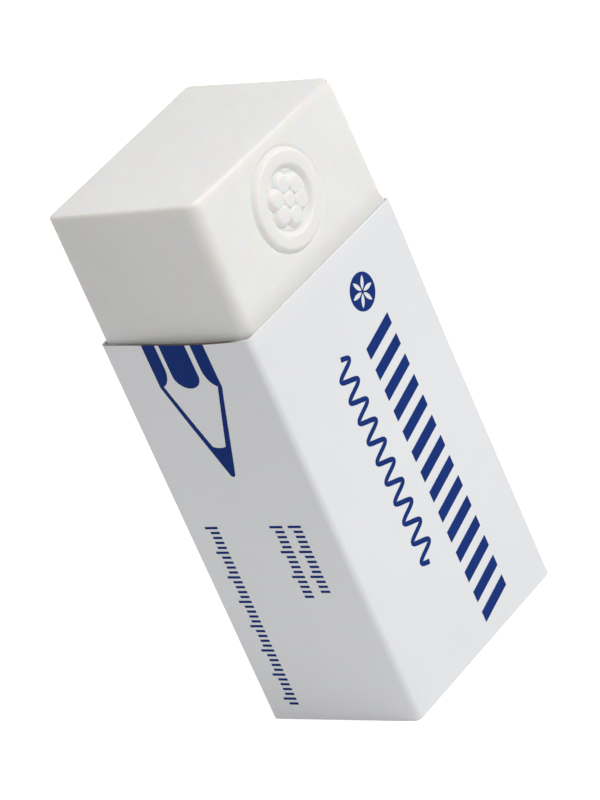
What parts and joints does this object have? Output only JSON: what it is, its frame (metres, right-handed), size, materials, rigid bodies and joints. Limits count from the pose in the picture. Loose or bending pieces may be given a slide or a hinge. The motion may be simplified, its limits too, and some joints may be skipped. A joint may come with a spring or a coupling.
{
  "type": "eraser in a card sleeve",
  "caption": "Rectangular white vinyl eraser in a folded card sleeve that grips it, with one end bare for rubbing out pencil.",
  "frame": {"origin": "middle of the foot, where the rubber and the sleeve stand on their far end", "axes": "+Z along the rubber towards its bare end, -Y out of the broad printed face, +X out of the glued narrow side"},
  "size_m": [0.019, 0.0139, 0.043],
  "materials": {
    "white_vinyl": "soft matt with a slight sheen",
    "sleeve_card": "smooth coated card, matt",
    "navy_print": "flat printed ink on the card"
  },
  "bodies": {
    "sleeve": {"card_sleeve": "sleeve_card"},
    "block": {"eraser_block": "white_vinyl"}
  },
  "joints": [
    {"name": "block_feed", "type": "slide", "parent": "sleeve", "child": "block", "axis": [0, 0, 1], "range_m": [-0.0015, 0.02]}
  ]
}
